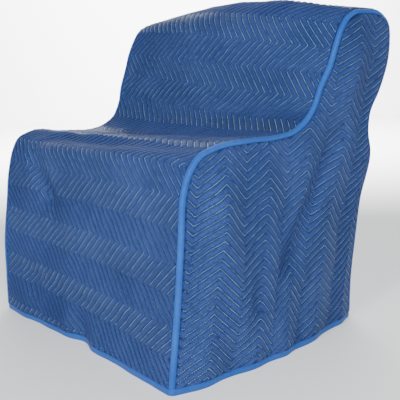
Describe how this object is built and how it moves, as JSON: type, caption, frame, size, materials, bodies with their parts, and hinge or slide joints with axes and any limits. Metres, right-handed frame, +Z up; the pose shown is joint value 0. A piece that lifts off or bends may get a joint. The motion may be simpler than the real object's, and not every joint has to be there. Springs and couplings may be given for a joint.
{
  "type": "quilted armchair cover",
  "caption": "Fitted quilted pad cover that drops over an armchair: a long strip over front, arms, back and rear, shaped sides, bound seams and hem.",
  "frame": {"origin": "on the floor, under the middle of the cover's box", "axes": "+X to the right of someone who faces the front, +Y to the rear, +Z up"},
  "size_m": [1.0167, 0.9937, 1.0337],
  "materials": {
    "quilted_cloth": "matt woven quilted cloth with pale zigzag stitching",
    "binding_tape": "smooth tape with a soft sheen"
  },
  "bodies": {
    "root": {"centre_panel": "quilted_cloth", "side_panel_right": "quilted_cloth", "side_panel_left": "quilted_cloth", "seam_binding_right": "binding_tape", "seam_binding_left": "binding_tape", "hem_binding": "binding_tape"}
  },
  "joints": []
}
